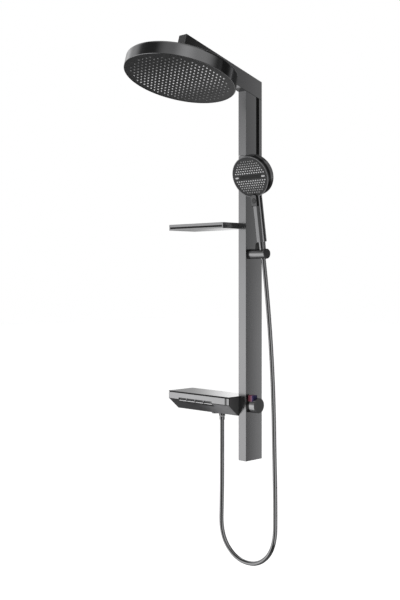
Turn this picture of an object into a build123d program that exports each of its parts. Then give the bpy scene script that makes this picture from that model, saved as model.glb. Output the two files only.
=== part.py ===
import os
from math import atan2, cos, degrees, hypot, radians, sin, tan

from build123d import *

os.makedirs("parts", exist_ok=True)

# ---- driving sizes, mm: +Z up, front faces -Y, wall plane Y = 0, column centre X = 0,
# ---- Z = 0 on the axis of the thermostat and of the two inlets

fit = 0.3            # gap between pieces that move against each other
snug = 0.1           # gap between pieces that stay together
turn_gap = 0.05      # radial gap of a turning shaft

column_width = 34.0
column_depth = 80.0
column_wall = 2.5
column_bottom = -188.0
column_seam = 838.0
column_lip = 6.0
half = column_width / 2

slot_width = 15.0
slot_rear = 14.0
slot_depth = 5.0

arm_lean = 16.0      # degrees, front end up
arm_length = 371.0
arm_height = 59.6
arm_wall = 2.5
arm_top_at_wall = 1092.6

head_radius = 180.0
head_height = 44.0
head_along = 345.6   # from the wall along the arm's top to the head's axis
head_below = 142.4   # arm's top to the head's lower face, square to the arm
head_wall = 3.0
ball_radius = 12.0
ball_clear = 2.0      # between the ball and the head's top
ball_height = head_height + ball_radius + ball_clear   # ball's centre above the head's lower face

tablet_length = 292.0
tablet_front = -128.0
tablet_back = -10.0
tablet_top = 27.5
tablet_front_low = 1.0
tablet_apex = -81.0
tablet_bottom = -38.4
tablet_wall = 3.0
top_plate = 2.5
front_trim = 3.0
plate_shadow = 2.6    # open line under the top plate
inlet_spacing = 150.0
inlet_radius = 10.45
union_radius = 11.5   # inlet body behind its thread
inlet_clear = 19.5    # inlet body to the valve's right end
union_proud = 0.5     # how far that body stands out of the back
thread_length = 14.0
escutcheon_radius = 26.0
key_count = 4
key_pitch = 41.0
key_width = 38.0
key_shift = -15.0     # middle of the row of keys from the tablet's middle
key_long = 16.0
key_deep = 7.0
key_proud = 1.2
key_travel = 2.5

knob_radius = 25.5
knob_length = 40.0
knob_y = -58.0
spindle_radius = 6.0
cartridge_radius = 13.0
collar_width = 5.0
button_wide = 24.0
button_top = 35.0
button_tall = 23.0
button_travel = 3.0
button_forward = 9.0  # button's middle in front of the knob's axis

shelf_length = 260.0
shelf_front = -156.0
shelf_back = -31.0
shelf_top = 612.0
shelf_plate = 9.0
shelf_gap = 6.0
shelf_base = 5.0

holder_radius = 16.5
holder_length = 75.0
holder_set_back = 22.5   # holder's axis behind the column's front
holder_y = holder_set_back - column_depth
holder_z = 507.0
holder_base_width = 8.0
hand_x = 73.0
hand_lean = 9.0
hand_turn = 7.0
axle_radius = 7.0
liner_radius = 13.0
cone_low = -18.0
cone_high = 40.0
cone_low_radius = 10.0
cone_high_radius = 12.0
handle_bottom = 40.0
handle_width = 26.0
hand_radius = 69.0
hand_height = 257.0
hand_forward = 28.5
hand_pitch = 11.0
hand_depth = 39.0

hose_diameter = 14.5
nut_radius = 9.0
outlet_x = -110.5
nipple_radius = 6.5
filter_radius = 12.0
filter_y = -66.0
filter_x = -138.0
outlet_y = -62.0


# ---- frames and small helpers

def wall_point(along, below):
    """Point of the arm's middle plane, measured along its top and square below it."""
    lean = radians(arm_lean)
    return (0.0,
            -along * cos(lean) - below * sin(lean),
            arm_top_at_wall + along * sin(lean) - below * cos(lean))


lean = radians(arm_lean)
arm_up = (0.0, sin(lean), cos(lean))
head_plane = Plane(origin=wall_point(head_along, head_below), x_dir=(1, 0, 0), z_dir=arm_up)

hl, ht = radians(hand_lean), radians(hand_turn)
hand_up = (0.0, -sin(hl), cos(hl))
hand_right = (cos(ht), sin(ht) * cos(hl), sin(ht) * sin(hl))
hand_plane = Plane(origin=(hand_x, holder_y, holder_z), x_dir=hand_right, z_dir=hand_up)


def hand_point(x, y, z):
    """Point given in the hand shower's own frame: y back, z up its handle."""
    v = hand_plane.from_local_coords(Vector(x, y, z))
    return (v.X, v.Y, v.Z)


def hand_vector(x, y, z):
    """Direction given in the hand shower's own frame."""
    a, b = Vector(*hand_point(x, y, z)), Vector(*hand_point(0, 0, 0))
    return (a.X - b.X, a.Y - b.Y, a.Z - b.Z)


hp = radians(hand_pitch)
face_out = hand_vector(0, -cos(hp), -sin(hp))
face_plane = Plane(origin=hand_point(0, -hand_forward, hand_height), x_dir=hand_right,
                   z_dir=tuple(-c for c in face_out))

slope_length = hypot(tablet_apex - tablet_front, tablet_bottom - tablet_front_low)
slope_down = ((tablet_apex - tablet_front) / slope_length,
              (tablet_bottom - tablet_front_low) / slope_length)
slope_out = (slope_down[1], -slope_down[0])


def slope_plane(x, along, out):
    """Plane lying on the tablet's sloping face; its z points out of the face."""
    return Plane(origin=(x,
                         tablet_front + along * slope_down[0] + out * slope_out[0],
                         tablet_front_low + along * slope_down[1] + out * slope_out[1]),
                 x_dir=(1, 0, 0), z_dir=(0, slope_out[0], slope_out[1]))


def side_plane(x):
    """Plane across X whose local axes are world Y and Z."""
    return Plane.YZ.offset(x)


tablet_right = -half
tablet_left = -half - tablet_length
tablet_middle = (tablet_right + tablet_left) / 2
valve_right = tablet_right - 40
inlet_right = valve_right - union_radius - inlet_clear
inlet_xs = (inlet_right - inlet_spacing, inlet_right)
key_first = tablet_middle + key_shift + key_pitch * (key_count - 1) / 2
key_xs = [key_first - i * key_pitch for i in range(key_count)]
upper_low = column_seam
column_back_top = arm_top_at_wall - arm_height / cos(lean)
column_front_top = column_back_top + column_depth * tan(lean)
slot_y = -(slot_rear + slot_width / 2)
pieces = []


# ---- column

with BuildPart() as column_lower:
    with BuildSketch(Plane.XY.offset(column_bottom)):
        with Locations((0, -column_depth / 2)):
            Rectangle(column_width, column_depth)
            Rectangle(column_width - 2 * column_wall, column_depth - 2 * column_wall, mode=Mode.SUBTRACT)
        with Locations((0, -column_wall / 2)):
            Rectangle(column_width - 2 * column_lip, column_wall + 1, mode=Mode.SUBTRACT)
    extrude(amount=column_seam - 1 - column_bottom)
    fillet(column_lower.edges().filter_by(Axis.Z).filter_by_position(Axis.Y, -column_depth - 0.1,
                                                                    -column_depth + 0.1), 0.8)
    # clear holes for the thermostat spindle and the riser's feed
    with BuildSketch(side_plane(-half - 1)):
        with Locations((knob_y, 0)):
            Circle(spindle_radius + 3)
        with Locations((-30, 0)):
            Circle(9.1)
    extrude(amount=column_width / 2, mode=Mode.SUBTRACT)
    with BuildSketch(side_plane(0)):
        with Locations((knob_y, 0)):
            Circle(spindle_radius + 3)
    extrude(amount=half + 1, mode=Mode.SUBTRACT)
column_lower.part.label = "column_lower"
pieces.append(column_lower.part)

with BuildPart() as column_upper:
    with BuildSketch(side_plane(-half)):
        with BuildLine():
            Polyline((0, upper_low), (-column_depth, upper_low), (-column_depth, column_front_top),
                     (0, column_back_top), close=True)
        make_face()
    extrude(amount=column_width)
    with BuildSketch(Plane.XY.offset(upper_low - 1)):
        with Locations((0, -column_depth / 2)):
            Rectangle(column_width - 4 * column_wall - 4, column_depth - 2 * column_wall)
    extrude(amount=column_front_top - upper_low + 2, mode=Mode.SUBTRACT)
    for side in (-1, 1):
        with BuildSketch(Plane.XY.offset(upper_low - 1)):
            with Locations((side * (half - slot_depth / 2 + 0.5), slot_y)):
                Rectangle(slot_depth + 1, slot_width)
        extrude(amount=column_front_top - upper_low + 2, mode=Mode.SUBTRACT)
column_upper.part.label = "column_upper"
pieces.append(column_upper.part)

with BuildPart() as slot_strips:
    for side in (-1, 1):
        with BuildSketch(side_plane(side * (half - slot_depth + 0.6))):
            with BuildLine():
                back = -slot_rear - snug
                front = -slot_rear - slot_width + snug
                Polyline((back, upper_low + 0.2), (front, upper_low + 0.2),
                         (front, column_back_top - front * tan(lean) - 0.2),
                         (back, column_back_top - back * tan(lean) - 0.2), close=True)
            make_face()
        extrude(amount=1.2, both=False, dir=(1, 0, 0) if side > 0 else (-1, 0, 0))
slot_strips.part.label = "slot_strips"
pieces.append(slot_strips.part)

with BuildPart() as column_end_cap:
    with BuildSketch(Plane.XY.offset(column_bottom)):
        with Locations((0, -column_depth / 2)):
            Rectangle(column_width - 2 * column_wall - 2 * snug, column_depth - 2 * column_wall - 2 * snug)
    extrude(amount=12)
    with BuildSketch(Plane.XY.offset(column_bottom + 3)):
        with Locations((0, -column_depth / 2)):
            Rectangle(column_width - 4 * column_wall, column_depth - 4 * column_wall)
    extrude(amount=10, mode=Mode.SUBTRACT)
column_end_cap.part.label = "column_end_cap"
pieces.append(column_end_cap.part)

with BuildPart() as column_joiner:
    joiner_y = -column_depth / 2
    with BuildSketch(Plane.XY.offset(column_seam - 40)):
        with Locations((0, joiner_y)):
            Rectangle(column_width - 2 * column_wall - 2 * snug, column_depth - 2 * column_wall - 2 * snug)
            Rectangle(column_width - 4 * column_wall - 10, column_depth - 4 * column_wall, mode=Mode.SUBTRACT)
    extrude(amount=39.2)
    with BuildSketch(Plane.XY.offset(column_seam - 40)):
        with Locations((0, joiner_y)):
            Rectangle(column_width - 4 * column_wall - 4 - 2 * snug, column_depth - 2 * column_wall - 2 * snug)
            Rectangle(column_width - 4 * column_wall - 10, column_depth - 4 * column_wall, mode=Mode.SUBTRACT)
    extrude(amount=80)
column_joiner.part.label = "column_joiner"
pieces.append(column_joiner.part)

bracket_zs = (0.0, 760.0)
with BuildPart() as wall_brackets:
    for z in bracket_zs:
        with BuildSketch(Plane.XY.offset(z - 30)):
            with Locations((0, -1.5)):
                Rectangle(column_width - 2 * column_lip - 2 * snug, 3)
            with Locations((0, -7.8)):
                Rectangle(column_width - 2 * column_wall - 2 * snug, 10.2)
        extrude(amount=60)
        with BuildSketch(Plane.XZ.offset(-1)):
            with Locations((0, z - 18), (0, z + 18)):
                Circle(2.75)
        extrude(amount=16, mode=Mode.SUBTRACT)
wall_brackets.part.label = "wall_brackets"
pieces.append(wall_brackets.part)

riser_y = -30.0
with BuildPart() as riser_pipe:
    with BuildSketch(Plane.XY.offset(9.2)):
        with Locations((0, riser_y)):
            Circle(7)
            Circle(5.5, mode=Mode.SUBTRACT)
    extrude(amount=column_back_top + 20 - 9.2)
riser_pipe.part.label = "riser_pipe"
pieces.append(riser_pipe.part)

with BuildPart() as riser_elbow:
    with BuildSketch(Plane.XY.offset(-9)):
        with Locations((0, riser_y)):
            Circle(9)
    extrude(amount=18.2)
    with BuildSketch(side_plane(0)):
        with Locations((riser_y, 0)):
            Circle(9)
    extrude(amount=-(half + 40))
    with BuildSketch(side_plane(-2)):
        with Locations((riser_y, 0)):
            Circle(5)
    extrude(amount=-(half + 40), mode=Mode.SUBTRACT)
    with BuildSketch(Plane.XY.offset(0)):
        with Locations((0, riser_y)):
            Circle(5)
    extrude(amount=12, mode=Mode.SUBTRACT)
riser_elbow.part.label = "riser_elbow"
pieces.append(riser_elbow.part)


# ---- arm: a leaning box section, square at the front and upright at the wall

def arm_outline(inset, back, front):
    """Side outline of the arm: inset from its faces, from back to front along it."""
    top_b = wall_point(0, inset)
    low_b = wall_point(0, arm_height - inset)
    t = tan(lean)
    y = -back
    top = (y, top_b[2] + (top_b[1] - y) * t)
    low = (y, low_b[2] + (low_b[1] - y) * t)
    top_f = wall_point(front, inset)
    low_f = wall_point(front, arm_height - inset)
    return [top, (top_f[1], top_f[2]), (low_f[1], low_f[2]), low]


neck_plane = Plane(origin=wall_point(head_along, arm_height), x_dir=(1, 0, 0), z_dir=arm_up)

with BuildPart() as arm_shell:
    with BuildSketch(side_plane(-half)):
        with BuildLine():
            Polyline(*arm_outline(0, 0, arm_length), close=True)
        make_face()
    extrude(amount=column_width)
    with BuildSketch(side_plane(-half + arm_wall)):
        with BuildLine():
            Polyline(*arm_outline(arm_wall, 4, arm_length + 5), close=True)
        make_face()
    extrude(amount=column_width - 2 * arm_wall, mode=Mode.SUBTRACT)
    with BuildSketch(neck_plane.offset(-1)):
        Circle(9.2)
    extrude(amount=6, mode=Mode.SUBTRACT)
    with BuildSketch(Plane.XY.offset(column_back_top - 1)):
        with Locations((0, riser_y)):
            Circle(7.2)
    extrude(amount=20, mode=Mode.SUBTRACT)
arm_shell.part.label = "arm_shell"
pieces.append(arm_shell.part)

with BuildPart() as arm_end_cap:
    cap_plane = Plane(origin=wall_point(arm_length - 10, arm_height / 2), x_dir=(1, 0, 0),
                      z_dir=(0.0, -cos(lean), sin(lean)))
    with BuildSketch(cap_plane):
        Rectangle(column_width - 2 * arm_wall - 2 * snug, arm_height - 2 * arm_wall - 2 * snug)
        Rectangle(column_width - 4 * arm_wall, arm_height - 4 * arm_wall, mode=Mode.SUBTRACT)
    extrude(amount=9)
    with BuildSketch(cap_plane.offset(8)):
        Rectangle(column_width - 2 * arm_wall - 2 * snug, arm_height - 2 * arm_wall - 2 * snug)
    extrude(amount=1.8)
arm_end_cap.part.label = "arm_end_cap"
pieces.append(arm_end_cap.part)

with BuildPart() as arm_tube:
    tube_low = arm_height / 2
    with BuildLine() as tube_path:
        a = (0, riser_y, column_back_top + 20.2)
        b = (0, riser_y, wall_point(0, tube_low)[2] - riser_y * tan(lean))
        c = wall_point(head_along - 13, tube_low)
        FilletPolyline(a, b, (c[0], c[1], c[2]), radius=12)
    with BuildSketch(Plane.XY.offset(column_back_top + 20.2)):
        with Locations((0, riser_y)):
            Circle(6)
            Circle(4.5, mode=Mode.SUBTRACT)
    sweep(path=tube_path.line)
    # end block that feeds the neck
    with BuildSketch(neck_plane.offset(arm_wall)):
        Rectangle(24, 26.2)
    extrude(amount=38)
    with BuildSketch(neck_plane.offset(arm_wall)):
        Circle(9.1)
    extrude(amount=14, mode=Mode.SUBTRACT)
arm_tube.part.label = "arm_tube"
pieces.append(arm_tube.part)

# ---- overhead head on its ball

with BuildPart() as head_neck:
    ball_plane = head_plane.offset(ball_height)
    gap_top = head_below - arm_height
    with BuildSketch(Plane(origin=head_plane.origin, x_dir=head_plane.z_dir, z_dir=(1, 0, 0))):
        with BuildLine():
            Polyline((ball_height, 0), (ball_height + 9.9, 0), (gap_top + 5, 0), (gap_top + 5, 9),
                     (gap_top, 9), (gap_top, 17), (gap_top - 4, 17), (gap_top - 6, 11),
                     (gap_top - 10, 9.5), (gap_top - 11, 7), (ball_height + 8, 7), (ball_height, 7),
                     close=True)
        make_face()
    revolve(axis=Axis(origin=head_plane.origin, direction=head_plane.z_dir))
    with Locations(Location(ball_plane)):
        Sphere(ball_radius)
head_neck.part.label = "head_neck"
pieces.append(head_neck.part)

with BuildPart() as ball_seat:
    with BuildSketch(ball_plane.offset(-5)):
        Circle(ball_radius + 2)
    extrude(amount=10)
    with Locations(Location(ball_plane)):
        Sphere(ball_radius + 2, mode=Mode.INTERSECT)
    with Locations(Location(ball_plane)):
        Sphere(ball_radius + turn_gap, mode=Mode.SUBTRACT)
ball_seat.part.label = "ball_seat"
pieces.append(ball_seat.part)

with BuildPart() as ball_nut:
    with BuildSketch(head_plane.offset(head_height)):
        Circle(ball_radius + 9)
    extrude(amount=ball_height + 6 - head_height)
    chamfer(ball_nut.edges().filter_by(GeomType.CIRCLE).sort_by(SortBy.DISTANCE)[-1:], 1.5)
    with Locations(Location(ball_plane)):
        Sphere(ball_radius + 2 + fit, mode=Mode.SUBTRACT)
ball_nut.part.label = "ball_nut"
pieces.append(ball_nut.part)

with BuildPart() as head_shell:
    with BuildSketch(head_plane):
        Circle(head_radius)
    extrude(amount=head_height)
    fillet(head_shell.faces().sort_by(Axis(origin=head_plane.origin, direction=head_plane.z_dir))[-1]
           .edges(), 9)
    chamfer(head_shell.faces().sort_by(Axis(origin=head_plane.origin, direction=head_plane.z_dir))[0]
            .edges(), 1.2)
    with BuildSketch(head_plane.offset(-1)):
        Circle(head_radius - head_wall)
    extrude(amount=head_height - head_wall - 7, mode=Mode.SUBTRACT)
head_shell.part.label = "head_shell"
pieces.append(head_shell.part)

with BuildPart() as spray_face:
    with BuildSketch(head_plane.offset(1.0)):
        Circle(head_radius - head_wall - snug)
    extrude(amount=3)
spray_face.part.label = "spray_face"
pieces.append(spray_face.part)

with BuildPart() as nozzle_mat:
    with BuildSketch(head_plane.offset(4.0)):
        Circle(head_radius - head_wall - 6)
    extrude(amount=3)
nozzle_mat.part.label = "nozzle_mat"
pieces.append(nozzle_mat.part)

with BuildPart() as water_chamber:
    with BuildSketch(head_plane.offset(7.0)):
        Circle(head_radius - head_wall - 6)
    extrude(amount=4)
    with BuildSketch(head_plane.offset(11.0)):
        Circle(40)
    extrude(amount=head_height - head_wall - 8 - 11)
    with BuildSketch(head_plane.offset(10.0)):
        Circle(30)
    extrude(amount=18, mode=Mode.SUBTRACT)
water_chamber.part.label = "water_chamber"
pieces.append(water_chamber.part)

# ---- control tablet

def tablet_outline(inset):
    """Side outline of the tablet's body, inset from its outside faces."""
    run, drop = slope_down
    body_front = tablet_front + front_trim
    top = tablet_top - top_plate
    # sloping face moved in by the inset, met with the body's front and floor
    y0 = tablet_front - slope_out[0] * inset
    z0 = tablet_front_low - slope_out[1] * inset
    front = body_front + inset
    floor = tablet_bottom + inset
    z_front = z0 + (front - y0) / run * drop
    y_floor = y0 + (floor - z0) / drop * run
    return [(front, top - inset), (front, z_front), (y_floor, floor),
            (tablet_back - inset, floor), (tablet_back - inset, top - inset)]


with BuildPart() as tablet_body:
    with BuildSketch(side_plane(tablet_left + 3)):
        with BuildLine():
            Polyline(*tablet_outline(0), close=True)
        make_face()
    extrude(amount=tablet_length - 6)
    with BuildSketch(side_plane(tablet_left + 3)):
        with BuildLine():
            Polyline(*tablet_outline(tablet_wall), close=True)
        make_face()
    extrude(amount=tablet_length - 6, mode=Mode.SUBTRACT)
    for x in key_xs:
        with BuildSketch(slope_plane(x, 2.5 + key_long / 2, -8)):
            Rectangle(key_width + 2 * fit, key_long + 2 * fit)
        extrude(amount=12, mode=Mode.SUBTRACT)
    with BuildSketch(Plane.XZ.offset(-tablet_back - 8)):
        with Locations(*[(x, 0) for x in inlet_xs]):
            Circle(union_radius + 1.5)
    extrude(amount=20, both=False, mode=Mode.SUBTRACT)
    with BuildSketch(Plane.XY.offset(tablet_bottom - 1)):
        with Locations((outlet_x, outlet_y)):
            Circle(9 + snug)
        with Locations((filter_x, filter_y)):
            Circle(filter_radius + snug)
    extrude(amount=6, mode=Mode.SUBTRACT)
tablet_body.part.label = "tablet_body"
pieces.append(tablet_body.part)

with BuildPart() as tablet_plate:
    with BuildSketch(Plane.XY.offset(tablet_top - top_plate)):
        with Locations((tablet_middle, (tablet_front + tablet_back) / 2)):
            Rectangle(tablet_length, tablet_back - tablet_front)
    extrude(amount=top_plate)
    chamfer(tablet_plate.edges().group_by(Axis.Z)[-1], 0.5)
tablet_plate.part.label = "tablet_plate"
pieces.append(tablet_plate.part)

with BuildPart() as tablet_front_trim:
    with BuildSketch(side_plane(tablet_left)):
        with BuildLine():
            Polyline((tablet_front, tablet_top - top_plate - plate_shadow), (tablet_front, tablet_front_low),
                     (tablet_front + front_trim, tablet_front_low + front_trim * slope_down[1]
                      / slope_down[0]),
                     (tablet_front + front_trim, tablet_top - top_plate - plate_shadow), close=True)
        make_face()
    extrude(amount=tablet_length)
    with BuildSketch(Plane.XY.offset(tablet_bottom)):
        with Locations((tablet_right - 9, tablet_front)):
            Rectangle(2, 10)
    extrude(amount=80, mode=Mode.SUBTRACT)
    for x in key_xs:
        with BuildSketch(Plane.XZ.offset(-tablet_front - front_trim - 1)):
            with Locations((x, tablet_front_low + 1.0)):
                Rectangle(key_width + 2 * fit, 9)
        extrude(amount=front_trim + 3, mode=Mode.SUBTRACT)
tablet_front_trim.part.label = "tablet_front_trim"
pieces.append(tablet_front_trim.part)

for label, x in (("tablet_end_left", tablet_left), ("tablet_end_right", tablet_right - 3)):
    with BuildPart() as tablet_end:
        with BuildSketch(side_plane(x)):
            with BuildLine():
                Polyline(*tablet_outline(0), close=True)
            make_face()
        extrude(amount=3)
        if label == "tablet_end_right":
            with BuildSketch(side_plane(x - 1)):
                with Locations((knob_y, 0)):
                    Circle(spindle_radius + 3)
                with Locations((riser_y, 0)):
                    Circle(9.1)
            extrude(amount=6, mode=Mode.SUBTRACT)
    tablet_end.part.label = label
    pieces.append(tablet_end.part)

for number, x in enumerate(key_xs, start=1):
    with BuildPart() as key:
        with BuildSketch(slope_plane(x, 2.5 + key_long / 2, key_proud - key_deep)):
            Rectangle(key_width, key_long)
        extrude(amount=key_deep)
        chamfer(key.faces().sort_by(Axis(origin=(0, 0, 0), direction=(0, slope_out[0], slope_out[1])))[-1]
                .edges(), 0.6)
    key.part.label = f"key_{number}"
    pieces.append(key.part)

valve_front = -74.0
valve_low = -15.0
with BuildPart() as valve_body:
    with BuildSketch(Plane.XY.offset(valve_low)):
        with Locations(((tablet_left + 20 + valve_right) / 2, (valve_front - 16) / 2)):
            Rectangle(tablet_length - 60, -16 - valve_front)
    extrude(amount=-2 * valve_low)
    with BuildSketch(Plane.XY.offset(tablet_bottom + tablet_wall)):
        with Locations((outlet_x, outlet_y)):
            Circle(8)
    extrude(amount=valve_low - tablet_bottom - tablet_wall)
    with BuildSketch(side_plane(valve_right)):
        with Locations((knob_y, 0)):
            Circle(cartridge_radius + snug)
    extrude(amount=-40, mode=Mode.SUBTRACT)
    with BuildSketch(Plane.XZ.offset(15)):
        with Locations(*[(x, 0) for x in inlet_xs]):
            Circle(union_radius + snug)
    extrude(amount=12, mode=Mode.SUBTRACT)
valve_body.part.label = "valve_body"
pieces.append(valve_body.part)

with BuildPart() as thermostat_cartridge:
    with BuildSketch(side_plane(tablet_right - 79.9)):
        with Locations((knob_y, 0)):
            Circle(cartridge_radius)
    extrude(amount=60)
    with BuildSketch(side_plane(tablet_right - 45)):
        with Locations((knob_y, 0)):
            Circle(spindle_radius + turn_gap)
    extrude(amount=30, mode=Mode.SUBTRACT)
thermostat_cartridge.part.label = "thermostat_cartridge"
pieces.append(thermostat_cartridge.part)

with BuildPart() as inlet_unions:
    for x in inlet_xs:
        with BuildSketch(Plane.XZ.offset(-thread_length)):
            with Locations((x, 0)):
                Circle(inlet_radius)
        extrude(amount=thread_length - union_proud)
        with BuildSketch(Plane.XZ.offset(-union_proud)):
            with Locations((x, 0)):
                Circle(union_radius)
        extrude(amount=union_proud + 26.9)
        with BuildSketch(Plane.XZ.offset(-thread_length)):
            with Locations((x, 0)):
                Circle(inlet_radius - 3.95)
        extrude(amount=thread_length + 26.9, mode=Mode.SUBTRACT)
inlet_unions.part.label = "inlet_unions"
pieces.append(inlet_unions.part)

with BuildPart() as escutcheons:
    for x in inlet_xs:
        with BuildSketch(Plane.XZ):
            with Locations((x, 0)):
                Circle(escutcheon_radius)
                Circle(union_radius + snug, mode=Mode.SUBTRACT)
        extrude(amount=7)
    chamfer(escutcheons.edges().filter_by(GeomType.CIRCLE).group_by(Axis.Y)[0]
            .filter_by(lambda e: e.radius > 20), 2)
escutcheons.part.label = "escutcheons"
pieces.append(escutcheons.part)

with BuildPart() as outlet_nipple:
    with BuildSketch(Plane.XY.offset(tablet_bottom - 16)):
        with Locations((outlet_x, outlet_y)):
            Circle(nipple_radius)
            Circle(4.5, mode=Mode.SUBTRACT)
    extrude(amount=16)
    with BuildSketch(Plane.XY.offset(tablet_bottom - 3)):
        with Locations((outlet_x, outlet_y)):
            Circle(11)
            Circle(4.5, mode=Mode.SUBTRACT)
    extrude(amount=3)
    with BuildSketch(Plane.XY.offset(tablet_bottom)):
        with Locations((outlet_x, outlet_y)):
            Circle(9)
            Circle(4.5, mode=Mode.SUBTRACT)
    extrude(amount=tablet_wall - 0.05)
outlet_nipple.part.label = "outlet_nipple"
pieces.append(outlet_nipple.part)

with BuildPart() as filter_cap:
    with BuildSketch(Plane.XY.offset(tablet_bottom)):
        with Locations((filter_x, filter_y)):
            Circle(filter_radius)
    extrude(amount=4)
    with BuildSketch(Plane.XY.offset(tablet_bottom - 4)):
        with Locations((filter_x, filter_y)):
            Circle(filter_radius + 1.5)
    extrude(amount=4)
    chamfer(filter_cap.edges().group_by(Axis.Z)[0], 1.5)
filter_cap.part.label = "filter_cap"
pieces.append(filter_cap.part)


# ---- thermostat knob on the column's right side

with BuildPart() as knob_collar:
    with BuildSketch(side_plane(half)):
        with Locations((knob_y, 0)):
            Circle(knob_radius - 2)
            Circle(spindle_radius + 1, mode=Mode.SUBTRACT)
    extrude(amount=collar_width)
knob_collar.part.label = "knob_collar"
pieces.append(knob_collar.part)

knob_start = half + collar_width + fit
button_x = knob_start + fit + 0.4 + button_wide / 2
button_y = knob_y - button_forward
button_low = button_top - button_tall
with BuildPart() as thermostat_knob:
    with BuildSketch(side_plane(knob_start)):
        with Locations((knob_y, 0)):
            Circle(knob_radius)
    extrude(amount=half + knob_length - 1.5 - knob_start)
    with BuildSketch(Plane.XY.offset(button_low - button_travel - fit)):
        with Locations((button_x, button_y)):
            RectangleRounded(button_wide + 2 * fit, button_wide + 2 * fit, 4)
    extrude(amount=knob_radius + button_top, mode=Mode.SUBTRACT)
    with BuildSketch(side_plane(knob_start - 1)):
        with Locations((knob_y, 0)):
            Circle(spindle_radius + snug)
    extrude(amount=18, mode=Mode.SUBTRACT)
thermostat_knob.part.label = "thermostat_knob"
pieces.append(thermostat_knob.part)

with BuildPart() as knob_cap:
    with BuildSketch(side_plane(half + knob_length - 1.5)):
        with Locations((knob_y, 0)):
            Circle(knob_radius - 1)
    extrude(amount=1.5)
    chamfer(knob_cap.edges().group_by(Axis.X)[-1], 0.8)
knob_cap.part.label = "knob_cap"
pieces.append(knob_cap.part)

with BuildPart() as knob_spindle:
    with BuildSketch(side_plane(valve_right)):
        with Locations((knob_y, 0)):
            Circle(spindle_radius)
    extrude(amount=40 + column_width + collar_width + 16)
knob_spindle.part.label = "knob_spindle"
pieces.append(knob_spindle.part)

with BuildPart() as safety_button:
    with BuildSketch(Plane.XY.offset(button_low)):
        with Locations((button_x, button_y)):
            RectangleRounded(button_wide, button_wide, 3.7)
    extrude(amount=button_tall)
    fillet(safety_button.edges().group_by(Axis.Z)[-1], 3)
safety_button.part.label = "safety_button"
pieces.append(safety_button.part)


# ---- shelf

shelf_middle = (-half - shelf_length / 2, (shelf_front + shelf_back) / 2)
shelf_deep = shelf_back - shelf_front

with BuildPart() as shelf_top_plate:
    with BuildSketch(Plane.XY.offset(shelf_top - shelf_plate)):
        with Locations(shelf_middle):
            Rectangle(shelf_length, shelf_deep)
    extrude(amount=shelf_plate)
    chamfer(shelf_top_plate.edges().group_by(Axis.Z)[-1], 0.6)
shelf_top_plate.part.label = "shelf_top_plate"
pieces.append(shelf_top_plate.part)

with BuildPart() as shelf_core:
    with BuildSketch(Plane.XY.offset(shelf_top - shelf_plate - shelf_gap)):
        with Locations(shelf_middle):
            Rectangle(shelf_length - 10, shelf_deep - 10)
        with Locations((-half - 10, -55.0)):
            Rectangle(20, 40)
    extrude(amount=shelf_gap)
shelf_core.part.label = "shelf_core"
pieces.append(shelf_core.part)

with BuildPart() as shelf_base_plate:
    with BuildSketch(Plane.XY.offset(shelf_top - shelf_plate - shelf_gap - shelf_base)):
        with Locations(shelf_middle):
            Rectangle(shelf_length, shelf_deep)
    extrude(amount=shelf_base)
shelf_base_plate.part.label = "shelf_base_plate"
pieces.append(shelf_base_plate.part)

# ---- hand shower holder

holder_start = half + holder_base_width + fit
holder_end = half + holder_length - 3
with BuildPart() as holder_base:
    with BuildSketch(side_plane(half)):
        with Locations((holder_y, holder_z)):
            Circle(holder_radius)
    extrude(amount=holder_base_width)
    with BuildSketch(side_plane(half + holder_base_width)):
        with Locations((holder_y, holder_z)):
            Circle(axle_radius)
    extrude(amount=22)
holder_base.part.label = "holder_base"
pieces.append(holder_base.part)

with BuildPart() as holder_barrel:
    with BuildSketch(side_plane(holder_start)):
        with Locations((holder_y, holder_z)):
            Circle(holder_radius)
    extrude(amount=holder_end - holder_start)
    with BuildSketch(side_plane(holder_start - 1)):
        with Locations((holder_y, holder_z)):
            Circle(axle_radius + turn_gap)
    extrude(amount=24, mode=Mode.SUBTRACT)
    with BuildSketch(hand_plane.offset(-30)):
        Circle(liner_radius)
    extrude(amount=60, mode=Mode.SUBTRACT)
holder_barrel.part.label = "holder_barrel"
pieces.append(holder_barrel.part)

cone_slope = (cone_high_radius - cone_low_radius) / (cone_high - cone_low)
revolve_plane = Plane(origin=hand_plane.origin, x_dir=hand_plane.x_dir,
                      z_dir=hand_vector(0, -1, 0))
hand_axis = Axis(origin=hand_plane.origin, direction=hand_plane.z_dir)


def cone_radius(z):
    return cone_low_radius + (z - cone_low) * cone_slope


with BuildPart() as holder_liner:
    with BuildSketch(revolve_plane):
        with BuildLine():
            Polyline((cone_radius(-14) + fit, -14), (liner_radius - 0.02, -14),
                     (liner_radius - 0.02, 14), (cone_radius(14) + fit, 14), close=True)
        make_face()
    revolve(axis=hand_axis)
holder_liner.part.label = "holder_liner"
pieces.append(holder_liner.part)

with BuildPart() as holder_cap:
    with BuildSketch(side_plane(holder_end)):
        with Locations((holder_y, holder_z)):
            Circle(holder_radius)
    extrude(amount=3)
    fillet(holder_cap.edges().group_by(Axis.X)[-1], 2)
holder_cap.part.label = "holder_cap"
pieces.append(holder_cap.part)


# ---- hand shower, in its own leaning and turned frame

with BuildPart() as cone_nut:
    with BuildSketch(revolve_plane):
        with BuildLine():
            Polyline((0, cone_low), (cone_radius(cone_low), cone_low),
                     (cone_radius(cone_high), cone_high), (0, cone_high), close=True)
        make_face()
    revolve(axis=hand_axis)
cone_nut.part.label = "cone_nut"
pieces.append(cone_nut.part)

drum_low = hand_height - hand_radius * cos(hp)      # where the drum's front edge ends, up the handle
handle_top = drum_low + 16
groove = 1.9
handle_half = 12.0
back_deep = 12.5


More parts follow.
